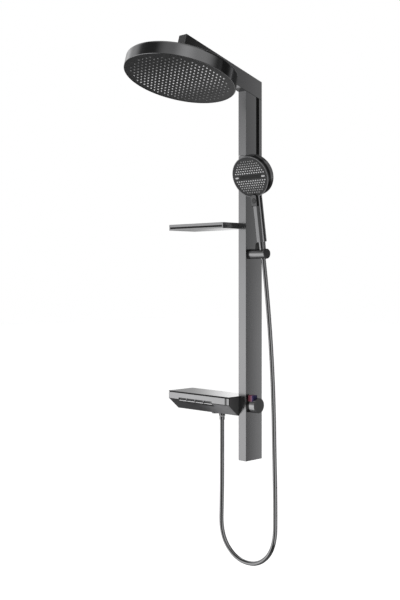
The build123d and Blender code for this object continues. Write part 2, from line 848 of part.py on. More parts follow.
with BuildPart() as handle_core:
    with BuildSketch(hand_plane.offset(handle_bottom)):
        with Locations((0, -groove / 2 - 0.5)):
            Rectangle(handle_width - 5, groove)
    extrude(amount=handle_top - handle_bottom)
    with BuildSketch(face_plane):
        Circle(hand_radius + 0.05)
    extrude(amount=hand_depth + 0.05, mode=Mode.SUBTRACT)
handle_core.part.label = "handle_core"
pieces.append(handle_core.part)

with BuildPart() as handle_back:
    with BuildSketch(hand_plane.offset(handle_bottom)):
        with Locations((0, (back_deep - 0.5) / 2)):
            RectangleRounded(handle_width, back_deep + 0.5, 3.0)
    extrude(amount=handle_top - handle_bottom)
    with BuildSketch(face_plane):
        Circle(hand_radius + 0.05)
    extrude(amount=hand_depth + 0.05, mode=Mode.SUBTRACT)
handle_back.part.label = "handle_back"
pieces.append(handle_back.part)

with BuildPart() as handle_front:
    front_deep = handle_half - groove - 0.5
    with BuildSketch(hand_plane.offset(handle_bottom)):
        with Locations((0, -groove - 0.5 - front_deep / 2)):
            RectangleRounded(handle_width, front_deep, 3.0)
    extrude(amount=handle_top - handle_bottom)
    with BuildSketch(face_plane):
        Circle(hand_radius + 0.05)
    extrude(amount=hand_depth + 0.05, mode=Mode.SUBTRACT)
handle_front.part.label = "handle_front"
pieces.append(handle_front.part)

neck_low = 160.0
neck_high = drum_low - 3.0
neck_front = 21.0
button_z = 178.0
with BuildPart() as handle_neck:
    with BuildSketch(revolve_plane.offset(handle_half)):
        with Locations((0, (neck_low + neck_high) / 2)):
            Rectangle(handle_width, neck_high - neck_low)
        with Locations((0, neck_high)):
            Circle(handle_width / 2)
    extrude(amount=neck_front - handle_half)
    chamfer(handle_neck.faces().sort_by(Axis(origin=(0, 0, 0), direction=hand_vector(0, -1, 0)))[-1]
            .edges(), 1.5)
    with BuildSketch(face_plane):
        Circle(hand_radius + 0.05)
    extrude(amount=hand_depth + 0.05, mode=Mode.SUBTRACT)
    with BuildSketch(revolve_plane.offset(handle_half + 1)):
        with Locations((0, button_z)):
            Circle(8 + fit)
    extrude(amount=20, mode=Mode.SUBTRACT)
handle_neck.part.label = "handle_neck"
pieces.append(handle_neck.part)

with BuildPart() as spray_button:
    with BuildSketch(revolve_plane.offset(neck_front - 5.5)):
        with Locations((0, button_z)):
            Circle(8)
    extrude(amount=6.8)
    chamfer(spray_button.faces().sort_by(Axis(origin=(0, 0, 0), direction=hand_vector(0, -1, 0)))[-1]
            .edges(), 0.8)
spray_button.part.label = "spray_button"
pieces.append(spray_button.part)

with BuildPart() as back_studs:
    with BuildSketch(revolve_plane.offset(-back_deep)):
        with Locations((0, 134.0), (0, 160.0)):
            Circle(4.5)
    extrude(amount=-3.0)
back_studs.part.label = "back_studs"
pieces.append(back_studs.part)

with BuildPart() as hand_head:
    with BuildSketch(face_plane):
        Circle(hand_radius)
    extrude(amount=hand_depth)
    back_faces = hand_head.faces().sort_by(Axis(origin=face_plane.origin, direction=face_plane.z_dir))
    fillet(back_faces[-1].edges(), 7)
    with BuildSketch(face_plane.offset(-1)):
        Circle(hand_radius - 2.5)
    extrude(amount=hand_depth - 8, mode=Mode.SUBTRACT)
hand_head.part.label = "hand_head"
pieces.append(hand_head.part)

with BuildPart() as hand_face:
    with BuildSketch(face_plane.offset(1)):
        Circle(hand_radius - 2.5 - snug)
    extrude(amount=3)
    with BuildSketch(face_plane.offset(0)):
        Rectangle(86, 10.6)
    extrude(amount=2.5, mode=Mode.SUBTRACT)
hand_face.part.label = "hand_face"
pieces.append(hand_face.part)

with BuildPart() as spray_bar:
    with BuildSketch(face_plane.offset(0.2)):
        Rectangle(86 - 2 * snug, 10.6 - 2 * snug)
    extrude(amount=2.3)
spray_bar.part.label = "spray_bar"
pieces.append(spray_bar.part)

with BuildPart() as hand_chamber:
    with BuildSketch(face_plane.offset(4)):
        Circle(hand_radius - 2.5 - snug)
    extrude(amount=5)
    with BuildSketch(face_plane.offset(9)):
        Circle(20)
        Circle(12, mode=Mode.SUBTRACT)
    extrude(amount=hand_depth - 9 - 9)
hand_chamber.part.label = "hand_chamber"
pieces.append(hand_chamber.part)


# ---- hose: straight runs joined by tangent arcs

nut_top = tablet_bottom - 3.0
nut_low = tablet_bottom - 24.2
with BuildPart() as outlet_nut:
    with BuildSketch(Plane(origin=(outlet_x, outlet_y, 0), x_dir=(1, 0, 0), z_dir=(0, -1, 0))):
        with BuildLine():
            Polyline((nipple_radius + 0.05, nut_top), (12, nut_top), (nut_radius, nut_top - 9), (nut_radius, nut_low),
                     (0, nut_low), (0, tablet_bottom - 16.1), (nipple_radius + 0.05, tablet_bottom - 16.1), close=True)
        make_face()
    revolve(axis=Axis(origin=(outlet_x, outlet_y, 0), direction=(0, 0, 1)))
outlet_nut.part.label = "outlet_nut"
pieces.append(outlet_nut.part)

hose_end = hand_point(0, 0, cone_low - 0.15)
hose_tail = hand_point(0, 0, cone_low - 92)
route = [
    (outlet_x, outlet_y, nut_low),
    (outlet_x - 0.3, -61.5, -187),
    (-113.0, -60.5, -328),
    (-118.5, -59.0, -462),
    (-48.0, -57.0, -534.5),
    (52.0, -54.5, -535.5),
    (121.5, -52.5, -464),
    (121.0, -50.5, -322),
    (113.5, -47.0, -145),
    (104.5, -41.5, 40),
    (88.0, -36.0, 222),
    hose_tail,
    hose_end,
]
radii = []
for before, here, after in zip(route, route[1:], route[2:]):
    leg_in = Vector(*here) - Vector(*before)
    leg_out = Vector(*after) - Vector(*here)
    turn = leg_in.get_angle(leg_out)
    radii.append(0.45 * min(leg_in.length, leg_out.length) / tan(radians(turn) / 2))
with BuildPart() as hose:
    with BuildLine() as hose_path:
        FilletPolyline(*route, radius=radii)
    with BuildSketch(Plane.XY.offset(nut_low)):
        with Locations((outlet_x, outlet_y)):
            Circle(hose_diameter / 2)
    sweep(path=hose_path.line)
hose.part.label = "hose"
pieces.append(hose.part)
hose_length = sum(edge.length for edge in hose_path.line.edges())
section = 3.14159265 * hose_diameter ** 2 / 4
print("hose length", round(hose_length, 1), "radii", [round(r) for r in radii])
print("hose volume over section x length", round(hose.part.volume / (section * hose_length), 4))
print("hose end", [round(v, 2) for v in hose_end], "tail", [round(v, 2) for v in hose_tail])


# ---- one STEP file for each piece

for piece in pieces:
    export_step(piece, f"parts/{piece.label}.step")
    print(piece.label, "volume", round(piece.volume), "solids", len(piece.solids()), piece.is_valid)
print(len(pieces), "pieces")
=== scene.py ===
import math

import bpy
from mathutils import Matrix, Vector


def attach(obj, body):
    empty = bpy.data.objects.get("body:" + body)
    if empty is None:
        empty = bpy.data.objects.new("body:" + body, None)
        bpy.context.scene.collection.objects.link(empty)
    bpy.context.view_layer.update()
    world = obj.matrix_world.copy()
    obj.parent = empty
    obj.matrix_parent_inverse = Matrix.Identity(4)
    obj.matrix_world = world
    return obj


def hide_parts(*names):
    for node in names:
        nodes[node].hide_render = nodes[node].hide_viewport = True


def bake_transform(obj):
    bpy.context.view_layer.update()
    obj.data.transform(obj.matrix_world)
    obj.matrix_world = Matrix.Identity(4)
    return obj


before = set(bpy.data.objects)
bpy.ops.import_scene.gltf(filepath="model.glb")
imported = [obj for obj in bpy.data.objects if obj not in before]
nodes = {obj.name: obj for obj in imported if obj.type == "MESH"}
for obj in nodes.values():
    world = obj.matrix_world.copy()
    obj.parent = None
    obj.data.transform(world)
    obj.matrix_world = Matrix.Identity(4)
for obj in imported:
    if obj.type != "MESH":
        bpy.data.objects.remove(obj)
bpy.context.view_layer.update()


# camera

cameraSetup = {"place": (2.2038, -2.4844, 0.433), "turn": (90, 0, 45), "lens": 58.2, "shiftY": -0.04}

bpy.ops.object.select_all(action="DESELECT")
bpy.ops.object.camera_add(
    location=cameraSetup["place"],
    rotation=[math.radians(angle) for angle in cameraSetup["turn"]],
)
viewCamera = bpy.context.object
viewCamera.data.lens = cameraSetup["lens"]
viewCamera.data.shift_y = cameraSetup["shiftY"]
bpy.context.scene.camera = viewCamera
bpy.context.scene.view_settings.view_transform = "Standard"
print("camera placed")


# frames of the two shower heads, the arm and the tablet's slope

def frameAt(origin, right, up):
    right = Vector(right).normalized()
    up = Vector(up).normalized()
    back = up.cross(right).normalized()
    turned = Matrix((right, back, up)).transposed().to_4x4()
    turned.translation = Vector(origin)
    return turned


headFrame = frameAt((0, -0.37146, 1.05098), (1, 0, 0), (0, 0.275637, 0.961262))
handFrame = frameAt((0.073, -0.0575, 0.507), (0.992546, 0.120369, 0.019065), (0, -0.156434, 0.987688))
faceTilt = math.radians(11)
faceFrame = (handFrame @ Matrix.Translation((0, -0.0285, 0.257))
             @ Matrix.Rotation(faceTilt - math.pi / 2, 4, "X"))
armLean = math.radians(16)
armFrame = frameAt((0, 0, 1.0926), (1, 0, 0), (0, math.sin(armLean), math.cos(armLean)))
slopeFrame = frameAt((0, -0.128, 0.001), (1, 0, 0), (0, -0.642427, -0.766347))


# small helpers for modelling

def startFresh():
    if bpy.context.object and bpy.context.object.mode != "OBJECT":
        bpy.ops.object.mode_set(mode="OBJECT")
    bpy.ops.object.select_all(action="DESELECT")


def focusOn(piece):
    startFresh()
    piece.select_set(True)
    bpy.context.view_layer.objects.active = piece


def pickNothing(piece, kind):
    focusOn(piece)
    bpy.ops.object.mode_set(mode="EDIT")
    bpy.ops.mesh.select_mode(type=kind)
    bpy.ops.mesh.select_all(action="DESELECT")
    bpy.ops.object.mode_set(mode="OBJECT")


def pickFaces(piece, wanted):
    # leaves the piece in edit mode with only the wanted faces selected
    pickNothing(piece, "FACE")
    for face in piece.data.polygons:
        face.select = bool(wanted(face))
    bpy.ops.object.mode_set(mode="EDIT")


def pickEdges(piece, wanted):
    pickNothing(piece, "EDGE")
    points = piece.data.vertices
    for edge in piece.data.edges:
        start, end = edge.vertices
        edge.select = bool(wanted(points[start].co, points[end].co))
    bpy.ops.object.mode_set(mode="EDIT")


def leaveEdit():
    bpy.ops.object.mode_set(mode="OBJECT")


def settle(piece, place=None):
    # puts the place into the mesh and leaves the object at the origin
    focusOn(piece)
    bpy.ops.object.transform_apply(location=True, rotation=True, scale=True)
    if place is not None:
        piece.data.transform(place)
    return piece


def smooth(piece, angle=35):
    focusOn(piece)
    bpy.ops.object.shade_smooth_by_angle(angle=math.radians(angle))
    return piece


def applyModifier(piece, kind, settings):
    focusOn(piece)
    bpy.ops.object.modifier_add(type=kind)
    modifier = piece.modifiers[-1]
    for name, value in settings.items():
        setattr(modifier, name, value)
    bpy.ops.object.modifier_apply(modifier=modifier.name)


def copiesOf(master, places, name):
    # one piece made of copies of the master, each with its own mesh
    copies = []
    for place in places:
        twin = master.copy()
        twin.data = master.data.copy()
        twin.data.transform(place)
        bpy.context.collection.objects.link(twin)
        copies.append(twin)
    startFresh()
    for twin in copies:
        twin.select_set(True)
    bpy.context.view_layer.objects.active = copies[0]
    if len(copies) > 1:
        bpy.ops.object.join()
    joined = bpy.context.object
    joined.name = joined.data.name = name
    bpy.data.objects.remove(master)
    return joined


def dress(piece, name, body, finish):
    piece.name = piece.data.name = name
    piece.data.materials.clear()
    piece.data.materials.append(finish)
    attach(piece, body)


# hose, the one free cord

hoseSetup = {
    "route": [
        (-0.1105, -0.062, -0.0626), (-0.1108, -0.0615, -0.187), (-0.113, -0.0605, -0.328),
        (-0.1185, -0.059, -0.462), (-0.048, -0.057, -0.5345), (0.052, -0.0545, -0.5355),
        (0.1215, -0.0525, -0.464), (0.121, -0.0505, -0.322), (0.1135, -0.047, -0.145),
        (0.1045, -0.0415, 0.04), (0.088, -0.036, 0.222), (0.073, -0.04029, 0.39835),
        (0.073, -0.05466, 0.48907),
    ],
    "radius": 0.00725,
    "length": 1.60,
    "bendFrom": (0.088, -0.036, 0.222),
    "bendTo": (0.073, -0.0535, 0.478),
}


def splineThrough(points, name):
    # smooth line with the points as its control points
    startFresh()
    bpy.ops.curve.primitive_nurbs_path_add()
    line = bpy.context.object
    line.name = name
    line.data.splines.clear()
    spline = line.data.splines.new("NURBS")
    spline.points.add(len(points) - 1)
    for point, place in zip(spline.points, points):
        point.co = (*place, 1)
    spline.order_u = 3
    spline.use_endpoint_u = True
    spline.resolution_u = 24
    line.data.dimensions = "3D"
    return line


hoseLine = splineThrough(hoseSetup["route"], "hoseLine")
bareMesh = bpy.data.meshes.new_from_object(hoseLine)
hoseLine.data.bevel_depth = hoseSetup["radius"]
hoseLine.data.bevel_resolution = 7
hoseLine.data.use_fill_caps = True
focusOn(hoseLine)
bpy.ops.object.convert(target="MESH")
hoseSheath = bpy.context.object
hoseSheath.name = "hoseSheath"
settle(hoseSheath)
smooth(hoseSheath, 60)


# finishes

class Signal:
    # one value on its way through a shader
    def __init__(self, tree, socket):
        self.tree = tree
        self.socket = socket

    def maths(self, operation, other, swapped=False):
        node = self.tree.nodes.new("ShaderNodeMath")
        node.operation = operation
        for place, value in zip(node.inputs, (other, self) if swapped else (self, other)):
            if isinstance(value, Signal):
                self.tree.links.new(value.socket, place)
            else:
                place.default_value = value
        return Signal(self.tree, node.outputs[0])

    def __add__(self, other):
        return self.maths("ADD", other)

    def __sub__(self, other):
        return self.maths("SUBTRACT", other)

    def __rsub__(self, other):
        return self.maths("SUBTRACT", other, True)

    def __mul__(self, other):
        return self.maths("MULTIPLY", other)

    def __gt__(self, other):
        return self.maths("GREATER_THAN", other)

    def __lt__(self, other):
        return self.maths("LESS_THAN", other)

    __radd__ = __add__
    __rmul__ = __mul__


class Finish:
    def __init__(self, owner):
        self.owner = owner
        owner.use_nodes = True
        self.tree = owner.node_tree
        self.tree.nodes.clear()

    def add(self, kind, settings=None, inputs=None, output=0):
        node = self.tree.nodes.new("ShaderNode" + kind)
        for name, value in (settings or {}).items():
            if name == "stops":
                ramp = node.color_ramp
                while len(ramp.elements) < len(value):
                    ramp.elements.new(0.5)
                for stop, (place, colour) in zip(ramp.elements, value):
                    stop.position = place
                    stop.color = (*colour, 1)
            else:
                setattr(node, name, value)
        for name, value in (inputs or {}).items():
            if isinstance(value, Signal):
                self.tree.links.new(value.socket, node.inputs[name])
            else:
                node.inputs[name].default_value = value
        return Signal(self.tree, node.outputs[output]) if node.outputs else None

    def axes(self, vector):
        split = self.add("SeparateXYZ", {}, {"Vector": vector})
        sockets = split.socket.node.outputs
        return [Signal(self.tree, sockets[i]) for i in range(3)]

    def noise(self, vector, stretch, detail=2.0):
        scaled = self.add("Mapping", {}, {"Vector": vector, "Scale": stretch})
        return self.add("TexNoise", {}, {
            "Vector": scaled, "Scale": 1.0, "Detail": detail, "Roughness": 0.55})

    def blend(self, factor, first, second):
        node = self.tree.nodes.new("ShaderNodeMix")
        node.data_type = "RGBA"
        sockets = [node.inputs[i] for i in (0, 6, 7)]
        for place, value in zip(sockets, (factor, first, second)):
            if isinstance(value, Signal):
                self.tree.links.new(value.socket, place)
            else:
                place.default_value = (*value, 1) if isinstance(value, (tuple, list)) else value
        return Signal(self.tree, node.outputs[2])

    def slide(self, value, start, end, low=0.0, high=1.0):
        return self.add("MapRange", {"interpolation_type": "SMOOTHSTEP"}, {
            "Value": value, "From Min": start, "From Max": end, "To Min": low, "To Max": high})

    def window(self, value, low, high, soft=0.0006):
        entered = self.slide(value, low - soft, low + soft)
        passed = self.slide(value, high - soft, high + soft)
        return entered * (1 - passed)

    def along(self, point, place, axis):
        # how far a point lies along one axis of a placed frame
        direction = place.col[axis].to_3d()
        reach = self.add("VectorMath", {"operation": "DOT_PRODUCT"}, {
            0: point, 1: direction}, output=1)
        return reach - place.translation.dot(direction)

    def surface(self, inputs):
        shader = self.add("BsdfPrincipled", {}, inputs)
        self.add("OutputMaterial", {}, {"Surface": shader})
        return self.owner


def shade(colour, amount):
    return tuple(part * amount for part in colour)


def metalFinish(name, tint, rough, along, tone=None):
    # brushed metal; tone, when given, works out a factor on the tint from the point
    finish = Finish(bpy.data.materials.new(name))
    point = finish.add("TexCoord", output="Object")
    across = [1500.0, 1500.0, 1500.0]
    across["XYZ".index(along)] = 14.0
    streaks = finish.noise(point, across, 3.0)
    clouds = finish.noise(point, (7.0, 7.0, 7.0), 3.0)
    colour = finish.blend(streaks, shade(tint, 0.9), shade(tint, 1.1))
    if tone:
        colour = finish.add("VectorMath", {"operation": "SCALE"}, {
            "Vector": colour, "Scale": tone(finish, point)})
    softEdge = finish.add("Bevel", {"samples": 3}, {"Radius": 0.0006})
    relief = finish.add("Bump", {}, {
        "Strength": 0.1, "Distance": 0.00008, "Height": streaks, "Normal": softEdge})
    return finish.surface({
        "Base Color": colour,
        "Metallic": 1.0,
        "Roughness": rough + (streaks - 0.5) * 0.12 + (clouds - 0.5) * 0.08,
        "Normal": relief,
    })


def plasticFinish(name, tint, rough, coat=0.0, tone=None, shine=0.5):
    # moulded plastic with a fine pebble
    finish = Finish(bpy.data.materials.new(name))
    point = finish.add("TexCoord", output="Object")
    pebble = finish.noise(point, (900.0, 900.0, 900.0), 2.0)
    clouds = finish.noise(point, (12.0, 12.0, 12.0), 3.0)
    colour = finish.blend(clouds, shade(tint, 0.9), shade(tint, 1.1))
    if tone:
        colour = finish.add("VectorMath", {"operation": "SCALE"}, {
            "Vector": colour, "Scale": tone(finish, point)})
    softEdge = finish.add("Bevel", {"samples": 3}, {"Radius": 0.0005})
    relief = finish.add("Bump", {}, {
        "Strength": 0.08, "Distance": 0.00006, "Height": pebble, "Normal": softEdge})
    return finish.surface({
        "Base Color": colour,
        "Roughness": rough + (clouds - 0.5) * 0.12 + (pebble - 0.5) * 0.06,
        "Specular IOR Level": shine,
        "Coat Weight": coat,
        "Coat Roughness": 0.12,
        "Normal": relief,
    })


def safetyFinish(name):
    # clear gloss button, red towards hot and blue towards cold, with painted shade at its dark left end and
    # a painted pink highlight between the red and the blue
    finish = Finish(bpy.data.materials.new(name))
    point = finish.add("TexCoord", output="Object")
    side = finish.add("MapRange", {}, {
        "Value": finish.axes(point)[0], "From Min": 0.023, "From Max": 0.047})
    colour = finish.add("ValToRGB", {"stops": [
        (0.0, (0.02, 0.003, 0.008)), (0.22, (0.09, 0.006, 0.018)), (0.5, (0.13, 0.01, 0.035)),
        (0.74, (0.24, 0.1, 0.17)), (0.88, (0.05, 0.03, 0.12)), (1.0, (0.014, 0.012, 0.06))]}, {"Fac": side})
    specks = finish.noise(point, (600.0, 600.0, 600.0))
    return finish.surface({
        "Base Color": colour,
        "Roughness": 0.26 + specks * 0.08,
        "Specular IOR Level": 0.25,
        "Coat Weight": 0.2,
        "Coat Roughness": 0.08,
        "Normal": finish.add("Bevel", {"samples": 3}, {"Radius": 0.0008}),
    })


def hoseFinish(name):
    # smooth sheath with a faint spiral under it
    finish = Finish(bpy.data.materials.new(name))
    point = finish.add("TexCoord", output="UV")
    along, around = finish.axes(point)[:2]
    spiral = finish.add("Math", {"operation": "SINE"}, {0: around * 6.2832 + along * 2600.0})
    fleck = finish.noise(finish.add("TexCoord", output="Object"), (300.0, 300.0, 300.0))
    colour = finish.blend(fleck, (0.3, 0.3, 0.305), (0.36, 0.36, 0.365))
    relief = finish.add("Bump", {}, {"Strength": 0.15, "Distance": 0.0001, "Height": spiral})
    return finish.surface({
        "Base Color": colour,
        "Metallic": 1.0,
        "Roughness": 0.13 + fleck * 0.05,
        "Normal": relief,
    })


def handleReflectionBands(finish, point):
    # painted reflections: a light front stripe, a dark band, a highlight on the corner, a black seam and a
    # grey back
    across = finish.along(point, handFrame, 0)
    depth = finish.along(point, handFrame, 1)
    flank = finish.slide(across, 0.0118, 0.0126)
    darkReflectionBand = finish.window(across, 0.0014, 0.0102) * 0.8
    cornerHighlight = finish.slide(across, 0.0098, 0.0108) * 0.3
    flankHighlight = (1 - finish.slide(depth, -0.0056, -0.0046)) * 2.9
    greyBackReflection = finish.slide(depth, 0.0044, 0.0056) * 0.9
    return (1.05 - darkReflectionBand + cornerHighlight) * (1 - flank) + (0.12 + flankHighlight + greyBackReflection) * flank


def neckShadedSide(finish, point):
    # painted shade: the neck darkens towards its side, past the front stripe
    return 0.5 - finish.slide(finish.along(point, handFrame, 0), 0.0085, 0.0105) * 0.42


def drumTone(finish, point):
    # a black band runs round the drum between two grey ones
    depth = finish.along(point, faceFrame, 2)
    band = finish.window(depth, 0.004, 0.018, 0.002) * 1.15
    rim = (1 - finish.slide(depth, 0.0005, 0.003)) * 0.6
    return 1.3 - band - rim


def armUndersideShading(finish, point):
    # painted shade on the arm's underside beside the column, and a painted lighter reflection beyond it
    under = 1 - finish.slide(finish.along(point, armFrame, 2), -0.0592, -0.0586)
    return 1.0 + under * finish.slide(finish.axes(point)[1], -0.112, -0.1, 0.5, -0.75)


def knobShadeNearColumn(finish, point):
    # painted shade: the knob is nearly black close to the column
    return finish.slide(finish.axes(point)[0], 0.0325, 0.0345, 0.06, 1.0)


def plateEdgeShade(finish, point):
    # painted shade: the plate's thin sides are darkened
    x, y = finish.axes(point)[:2]
    inside = (x > -0.3084) * (x < -0.0176) * (y > -0.1274)
    return inside * 0.92 + 0.08


def trimTone(finish, point):
    return 1.0 - finish.window(finish.axes(point)[0], -0.036, -0.029) * 0.8


def slopeBarsAndSheen(finish, point):
    # pale streaky bars, with a painted reflection that grows brighter towards the column
    along = finish.axes(point)[0]
    bars = finish.noise(point, (60.0, 900.0, 900.0), 1.0)
    return (1.3 + finish.slide(along, -0.19, -0.05) * 4.2) * (0.5 + bars)


def nozzleHighlightBand(finish, point):
    # painted highlight: the middle rows are brightest, as if they catch the light most
    away = (finish.axes(point)[1] + 0.371).maths("ABSOLUTE", 0.0)
    return finish.slide(away, 0.02, 0.12, 1.9, 0.45)


def handNozzleHighlightBand(finish, point):
    # painted highlight: the nozzles near the bar are brightest
    away = finish.along(point, faceFrame, 1).maths("ABSOLUTE", 0.0)
    return finish.slide(away, 0.012, 0.055, 1.6, 0.7)


graphite = (0.30, 0.30, 0.305)
finishes = {
    "columnGraphite": metalFinish("columnGraphite", graphite, 0.22, "Z"),
    "armGraphite": metalFinish("armGraphite", shade(graphite, 0.95), 0.22, "Y", armUndersideShading),
    "headGraphite": metalFinish("headGraphite", shade(graphite, 0.92), 0.17, "X"),
    "tabletTop": metalFinish("tabletTop", (0.42, 0.42, 0.425), 0.16, "X", plateEdgeShade),
    "tabletFront": metalFinish("tabletFront", (0.38, 0.38, 0.385), 0.24, "X", trimTone),
    "tabletEnd": plasticFinish("tabletEnd", (0.055, 0.055, 0.056), 0.42),
    "shelfMetal": metalFinish("shelfMetal", (0.34, 0.34, 0.345), 0.22, "X"),
    "knobMetal": metalFinish("knobMetal", (0.36, 0.36, 0.365), 0.22, "X"),
    "barrelMetal": metalFinish("barrelMetal", (0.36, 0.36, 0.365), 0.3, "X"),
    "thermostatMetal": metalFinish("thermostatMetal", (0.4, 0.4, 0.405), 0.2, "X", knobShadeNearColumn),
    "handleMetal": metalFinish("handleMetal", (0.27, 0.27, 0.275), 0.2, "Z", handleReflectionBands),
    "neckMetal": metalFinish("neckMetal", (0.27, 0.27, 0.275), 0.22, "Z", neckShadedSide),
    "drumMetal": metalFinish("drumMetal", (0.27, 0.27, 0.275), 0.2, "Z", drumTone),
    "collarBlack": plasticFinish("collarBlack", (0.01, 0.01, 0.01), 0.5),
    "bracketSteel": metalFinish("bracketSteel", (0.55, 0.55, 0.56), 0.38, "X"),
    "drawnCopper": metalFinish("drawnCopper", (0.72, 0.42, 0.28), 0.3, "Z"),
    "machinedBrass": metalFinish("machinedBrass", (0.62, 0.5, 0.26), 0.28, "X"),
    "blackInsert": plasticFinish("blackInsert", (0.004, 0.004, 0.004), 0.55, shine=0.25),
    "darkPlastic": plasticFinish("darkPlastic", (0.02, 0.02, 0.021), 0.42),
    "slopePlastic": plasticFinish("slopePlastic", (0.034, 0.034, 0.035), 0.4, tone=slopeBarsAndSheen),
    "knobEnd": plasticFinish("knobEnd", (0.05, 0.05, 0.051), 0.36, coat=0.2),
    "keyGloss": plasticFinish("keyGloss", (0.03, 0.03, 0.031), 0.3, coat=0.4),
    "handFaceBlack": plasticFinish("handFaceBlack", (0.03, 0.03, 0.031), 0.36, shine=0.4),
    "lipPale": plasticFinish("lipPale", (0.85, 0.85, 0.855), 0.3),
    "sprayBlack": plasticFinish("sprayBlack", (0.016, 0.016, 0.0165), 0.36, shine=0.35),
    "nozzleRubber": plasticFinish("nozzleRubber", (0.40, 0.40, 0.405), 0.4, tone=nozzleHighlightBand),
    "handNozzleRubber": plasticFinish(
        "handNozzleRubber", (0.5, 0.5, 0.505), 0.4, tone=handNozzleHighlightBand),
    "paleInlay": plasticFinish("paleInlay", (0.6, 0.6, 0.605), 0.35),
    "chamberPlastic": plasticFinish("chamberPlastic", (0.10, 0.10, 0.10), 0.5),
    "shelfBlack": plasticFinish("shelfBlack", (0.01, 0.01, 0.01), 0.5),
    "safetyGloss": safetyFinish("safetyGloss"),
    "hoseSheath": hoseFinish("hoseSheath"),
    "markGrey": plasticFinish("markGrey", (0.16, 0.16, 0.165), 0.4),
}
print("finishes made", len(finishes))

nodeFinish = {
    "columnGraphite": ["column_lower", "column_upper", "column_end_cap"],
    "blackInsert": ["slot_strips"],
    "darkPlastic": ["column_joiner", "ball_seat", "holder_liner", "holder_cap", "handle_core",
                    "back_studs", "holder_base"],
    "slopePlastic": ["tablet_body"],
    "bracketSteel": ["wall_brackets"],
    "drawnCopper": ["riser_pipe", "riser_elbow", "arm_tube"],
    "armGraphite": ["arm_shell", "arm_end_cap"],
    "headGraphite": ["head_neck", "ball_nut", "head_shell"],
    "sprayBlack": ["spray_face"],
    "handFaceBlack": ["hand_face"],
    "nozzleRubber": ["nozzle_mat"],
    "chamberPlastic": ["water_chamber", "hand_chamber"],
    "tabletTop": ["tablet_plate"],
    "tabletFront": ["tablet_front_trim"],
    "tabletEnd": ["tablet_end_left", "tablet_end_right"],
    # knob_collar is black as painted shade between the column and the knob
    "collarBlack": ["knob_collar", "spray_bar"],
    "machinedBrass": ["valve_body", "thermostat_cartridge", "inlet_unions", "knob_spindle"],
    "thermostatMetal": ["thermostat_knob"],
    "barrelMetal": ["holder_barrel"],
    "knobMetal": ["outlet_nipple", "outlet_nut", "cone_nut", "filter_cap", "escutcheons"],
    "knobEnd": ["knob_cap"],
    "keyGloss": ["key_1", "key_2", "key_3", "key_4", "spray_button"],
    "safetyGloss": ["safety_button"],
    "shelfMetal": ["shelf_top_plate", "shelf_base_plate"],
    "shelfBlack": ["shelf_core"],
    "handleMetal": ["handle_front", "handle_back"],
    "neckMetal": ["handle_neck"],
    "drumMetal": ["hand_head"],
    "hoseSheath": ["hose"],
}
for finishName, names in nodeFinish.items():
    for name in names:
        nodes[name].data.materials.clear()
        nodes[name].data.materials.append(finishes[finishName])
unpainted = set(nodes) - {name for names in nodeFinish.values() for name in names}
print("nodes without a finish", sorted(unpainted))


# hose: the sheath stands in for the hose node

hoseSheath.data.materials.clear()
hoseSheath.data.materials.append(finishes["hoseSheath"])
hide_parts("hose")
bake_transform(hoseSheath)

# slack hose: a short piece hidden in the cone at rest
slackSetup = {"radius": 0.0062, "low": -0.042, "high": -0.008, "margin": 0.004}
slackHose = splineThrough(
    [handFrame @ Vector((0, 0, height)) for height in (
        slackSetup["low"], (slackSetup["low"] + slackSetup["high"]) / 2, slackSetup["high"])], "slackHose")
slackHose.data.bevel_depth = slackSetup["radius"]
slackHose.data.bevel_resolution = 5
slackHose.data.use_fill_caps = True
focusOn(slackHose)
bpy.ops.object.convert(target="MESH")
slackHose = smooth(settle(bpy.context.object), 60)
slackHose.name = slackHose.data.name = "slackHose"
slackHose.data.materials.append(finishes["hoseSheath"])
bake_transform(slackHose)


# overhead nozzles

nozzleSetup = {"low": 0.0027, "top": 0.0017, "tall": 0.0022, "bore": 0.0009,
               "pitchX": 0.01763, "pitchY": 0.01535, "field": 0.158}


def nozzleMaster(setup):
    startFresh()
    bpy.ops.mesh.primitive_cone_add(
        vertices=10, radius1=setup["top"], radius2=setup["low"], depth=setup["tall"],
        location=(0, 0, -setup["tall"] / 2))
    nozzle = bpy.context.object
    settle(nozzle)
    pickFaces(nozzle, lambda face: face.normal.z < -0.9)
    bpy.ops.mesh.inset(thickness=setup["top"] - setup["bore"])
    bpy.ops.mesh.extrude_region_move(TRANSFORM_OT_translate={"value": (0, 0, setup["tall"] * 0.7)})
    leaveEdit()
    return smooth(nozzle, 50)


places = []
reach = int(nozzleSetup["field"] / nozzleSetup["pitchY"]) + 1
for row in range(-reach, reach + 1):
    for step in range(-reach, reach + 1):
        x = (step + 0.5) * nozzleSetup["pitchX"]
        y = row * nozzleSetup["pitchY"]
        if math.hypot(x, y) <= nozzleSetup["field"]:
            places.append(headFrame @ Matrix.Translation((x, y, 0.0011)))
headNozzles = copiesOf(nozzleMaster(nozzleSetup), places, "headNozzles")
dress(headNozzles, "headNozzles", "head", finishes["nozzleRubber"])
print("overhead nozzles", len(places))


# hand shower nozzles: rows above and below the bar

handNozzleSetup = {"low": 0.0023, "top": 0.0019, "tall": 0.0014, "bore": 0.0007,
                   "pitchX": 0.0091, "pitchY": 0.0078, "first": 0.013, "field": 0.0595}
places = []
for side in (-1, 1):
    for row in range(7):
        y = side * (handNozzleSetup["first"] + row * handNozzleSetup["pitchY"])
        for step in range(-8, 9):
            x = (step + (0.5 if row % 2 else 0)) * handNozzleSetup["pitchX"]
            if math.hypot(x, y) <= handNozzleSetup["field"]:
                places.append(faceFrame @ Matrix.Translation((x, y, 0.0011)))
handNozzles = copiesOf(nozzleMaster(handNozzleSetup), places, "handNozzles")
dress(handNozzles, "handNozzles", "hand_shower", finishes["handNozzleRubber"])
print("hand nozzles", len(places))
